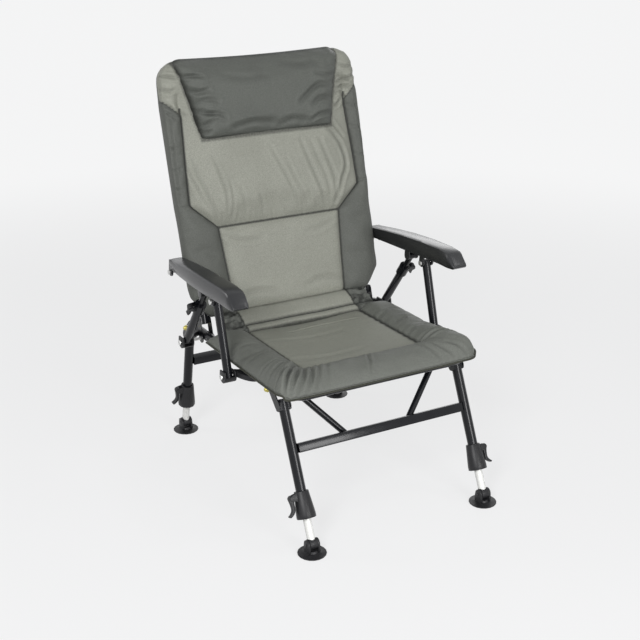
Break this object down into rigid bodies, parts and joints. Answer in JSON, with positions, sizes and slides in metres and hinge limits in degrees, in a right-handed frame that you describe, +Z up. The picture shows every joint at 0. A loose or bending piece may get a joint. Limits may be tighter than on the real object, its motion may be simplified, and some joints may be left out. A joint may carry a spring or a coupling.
{
  "type": "carp fishing chair",
  "caption": "Padded folding fishing chair with reclining back, level linked arms, folding leg frames and telescopic legs on swivelling mud feet.",
  "frame": {"origin": "on the floor, midway between the four feet", "axes": "+Z up; the chair faces -Y; +X is on the right as seen from the front"},
  "size_m": [0.674, 0.816, 1.042],
  "materials": {
    "black_tube": "satin black coating",
    "black_plastic": "moulded, fine grain",
    "arm_plastic": "moulded, semi-gloss",
    "white_tube": "smooth off-white coating",
    "zinc": "zinc plated",
    "khaki_cloth": "woven polyester, matt",
    "dark_cloth": "woven polyester, matt"
  },
  "bodies": {
    "seat_frame": {"seat_rail_left": "black_tube", "seat_rail_right": "black_tube", "rail_end_cap_left": "black_plastic", "rail_end_cap_right": "black_plastic", "post_bracket_left": "black_plastic", "post_bracket_right": "black_plastic", "strut_bracket_left": "black_plastic", "strut_bracket_right": "black_plastic", "seat_pad": "khaki_cloth", "front_pivot_bolt_left": "zinc", "front_pivot_bolt_right": "zinc", "rear_pivot_bolt_left": "zinc", "rear_pivot_bolt_right": "zinc", "hinge_bolt_left": "zinc", "hinge_bolt_right": "zinc", "post_bolt_left": "zinc", "post_bolt_right": "zinc"},
    "front_legs": {"front_leg_left": "black_tube", "front_leg_right": "black_tube", "front_crossbar": "black_tube", "front_brace_left": "black_tube", "front_brace_right": "black_tube", "front_clamp_left": "black_plastic", "front_clamp_right": "black_plastic"},
    "rear_legs": {"rear_leg_left": "black_tube", "rear_leg_right": "black_tube", "rear_crossbar": "black_tube", "rear_clamp_left": "black_plastic", "rear_clamp_right": "black_plastic"},
    "front_lever_left": {"front_clamp_lever_left": "black_plastic"},
    "front_extension_left": {"front_leg_inner_left": "white_tube"},
    "front_foot_left": {"front_foot_left": "black_plastic"},
    "front_lever_right": {"front_clamp_lever_right": "black_plastic"},
    "front_extension_right": {"front_leg_inner_right": "white_tube"},
    "front_foot_right": {"front_foot_right": "black_plastic"},
    "rear_lever_left": {"rear_clamp_lever_left": "black_plastic"},
    "rear_extension_left": {"rear_leg_inner_left": "white_tube"},
    "rear_foot_left": {"rear_foot_left": "black_plastic"},
    "rear_lever_right": {"rear_clamp_lever_right": "black_plastic"},
    "rear_extension_right": {"rear_leg_inner_right": "white_tube"},
    "rear_foot_right": {"rear_foot_right": "black_plastic"},
    "backrest": {"back_tube_left": "black_tube", "back_tube_right": "black_tube", "back_cross_bar": "black_tube", "back_pad": "khaki_cloth", "headrest": "dark_cloth", "arm_rear_bolt_left": "zinc", "arm_rear_bolt_right": "zinc"},
    "post_left": {"arm_post_left": "black_tube"},
    "arm_left": {"armrest_left": "arm_plastic", "arm_front_bolt_left": "zinc"},
    "strut_lower_left": {"strut_tube_left": "black_tube"},
    "strut_upper_left": {"strut_inner_left": "black_tube"},
    "strut_cam_left": {"strut_lever_left": "black_plastic"},
    "post_right": {"arm_post_right": "black_tube"},
    "arm_right": {"armrest_right": "arm_plastic", "arm_front_bolt_right": "zinc"},
    "strut_lower_right": {"strut_tube_right": "black_tube"},
    "strut_upper_right": {"strut_inner_right": "black_tube"},
    "strut_cam_right": {"strut_lever_right": "black_plastic"}
  },
  "joints": [
    {"name": "recline", "type": "hinge", "parent": "seat_frame", "child": "backrest", "pos_m": [0, 0.20273, 0.34332], "axis": [1, 0, 0], "range_deg": [-14, 35]},
    {"name": "post_swing_left", "type": "hinge", "parent": "seat_frame", "child": "post_left", "pos_m": [-0.303, -0.05332, 0.34398], "axis": [1, 0, 0], "range_deg": [-14, 35]},
    {"name": "arm_level_left", "type": "hinge", "parent": "backrest", "child": "arm_left", "pos_m": [-0.303, 0.25384, 0.52154], "axis": [1, 0, 0], "range_deg": [-35, 14]},
    {"name": "strut_swing_left", "type": "hinge", "parent": "seat_frame", "child": "strut_lower_left", "pos_m": [-0.303, 0.20273, 0.34332], "axis": [1, 0, 0], "range_deg": [-7, 17.5]},
    {"name": "strut_turn_left", "type": "hinge", "parent": "arm_left", "child": "strut_upper_left", "pos_m": [-0.303, 0.06844, 0.52154], "axis": [1, 0, 0], "range_deg": [-7, 17.5]},
    {"name": "post_swing_right", "type": "hinge", "parent": "seat_frame", "child": "post_right", "pos_m": [0.303, -0.05332, 0.34398], "axis": [1, 0, 0], "range_deg": [-14, 35]},
    {"name": "arm_level_right", "type": "hinge", "parent": "backrest", "child": "arm_right", "pos_m": [0.303, 0.25384, 0.52154], "axis": [1, 0, 0], "range_deg": [-35, 14]},
    {"name": "strut_swing_right", "type": "hinge", "parent": "seat_frame", "child": "strut_lower_right", "pos_m": [0.303, 0.20273, 0.34332], "axis": [1, 0, 0], "range_deg": [-7, 17.5]},
    {"name": "strut_turn_right", "type": "hinge", "parent": "arm_right", "child": "strut_upper_right", "pos_m": [0.303, 0.06844, 0.52154], "axis": [1, 0, 0], "range_deg": [-7, 17.5]},
    {"name": "strut_lever_left", "type": "hinge", "parent": "strut_lower_left", "child": "strut_cam_left", "pos_m": [-0.3295, 0.10344, 0.4751], "axis": [0, 0.7986, 0.6018], "range_deg": [0, 110]},
    {"name": "strut_lever_right", "type": "hinge", "parent": "strut_lower_right", "child": "strut_cam_right", "pos_m": [0.3295, 0.10344, 0.4751], "axis": [0, -0.7986, -0.6018], "range_deg": [0, 110]},
    {"name": "front_leg_fold", "type": "hinge", "parent": "seat_frame", "child": "front_legs", "pos_m": [0, -0.19802, 0.35812], "axis": [1, 0, 0], "range_deg": [0, 58]},
    {"name": "rear_leg_fold", "type": "hinge", "parent": "seat_frame", "child": "rear_legs", "pos_m": [0, 0.28383, 0.34634], "axis": [-1, 0, 0], "range_deg": [0, 90]},
    {"name": "front_extend_left", "type": "slide", "parent": "front_legs", "child": "front_extension_left", "axis": [0, -0.421, -0.907], "range_m": [-0.045, 0.03]},
    {"name": "front_foot_swivel_left", "type": "hinge", "parent": "front_extension_left", "child": "front_foot_left", "pos_m": [-0.246, -0.373, 0.026], "axis": [1, 0, 0], "range_deg": [-25, 25]},
    {"name": "front_cam_left", "type": "hinge", "parent": "front_legs", "child": "front_lever_left", "pos_m": [-0.275, -0.325, 0.1294], "axis": [0, 0.907, -0.421], "range_deg": [0, 110]},
    {"name": "front_extend_right", "type": "slide", "parent": "front_legs", "child": "front_extension_right", "axis": [0, -0.421, -0.907], "range_m": [-0.045, 0.03]},
    {"name": "front_foot_swivel_right", "type": "hinge", "parent": "front_extension_right", "child": "front_foot_right", "pos_m": [0.246, -0.373, 0.026], "axis": [1, 0, 0], "range_deg": [-25, 25]},
    {"name": "front_cam_right", "type": "hinge", "parent": "front_legs", "child": "front_lever_right", "pos_m": [0.275, -0.325, 0.1294], "axis": [0, -0.907, 0.421], "range_deg": [0, 110]},
    {"name": "rear_extend_left", "type": "slide", "parent": "rear_legs", "child": "rear_extension_left", "axis": [0, 0.1994, -0.9799], "range_m": [-0.045, 0.03]},
    {"name": "rear_foot_swivel_left", "type": "hinge", "parent": "rear_extension_left", "child": "rear_foot_left", "pos_m": [-0.246, 0.373, 0.026], "axis": [1, 0, 0], "range_deg": [-25, 25]},
    {"name": "rear_cam_left", "type": "hinge", "parent": "rear_legs", "child": "rear_lever_left", "pos_m": [-0.275, 0.35027, 0.13771], "axis": [0, 0.9799, 0.1994], "range_deg": [0, 110]},
    {"name": "rear_extend_right", "type": "slide", "parent": "rear_legs", "child": "rear_extension_right", "axis": [0, 0.1994, -0.9799], "range_m": [-0.045, 0.03]},
    {"name": "rear_foot_swivel_right", "type": "hinge", "parent": "rear_extension_right", "child": "rear_foot_right", "pos_m": [0.246, 0.373, 0.026], "axis": [1, 0, 0], "range_deg": [-25, 25]},
    {"name": "rear_cam_right", "type": "hinge", "parent": "rear_legs", "child": "rear_lever_right", "pos_m": [0.275, 0.35027, 0.13771], "axis": [0, -0.9799, -0.1994], "range_deg": [0, 110]}
  ],
  "couplings": [
    {"joint": "post_swing_left", "follows": "recline", "ratio": 1},
    {"joint": "arm_level_left", "follows": "recline", "ratio": -1},
    {"joint": "strut_swing_left", "follows": "recline", "ratio": 0.5},
    {"joint": "strut_turn_left", "follows": "recline", "ratio": 0.5},
    {"joint": "post_swing_right", "follows": "recline", "ratio": 1},
    {"joint": "arm_level_right", "follows": "recline", "ratio": -1},
    {"joint": "strut_swing_right", "follows": "recline", "ratio": 0.5},
    {"joint": "strut_turn_right", "follows": "recline", "ratio": 0.5}
  ]
}
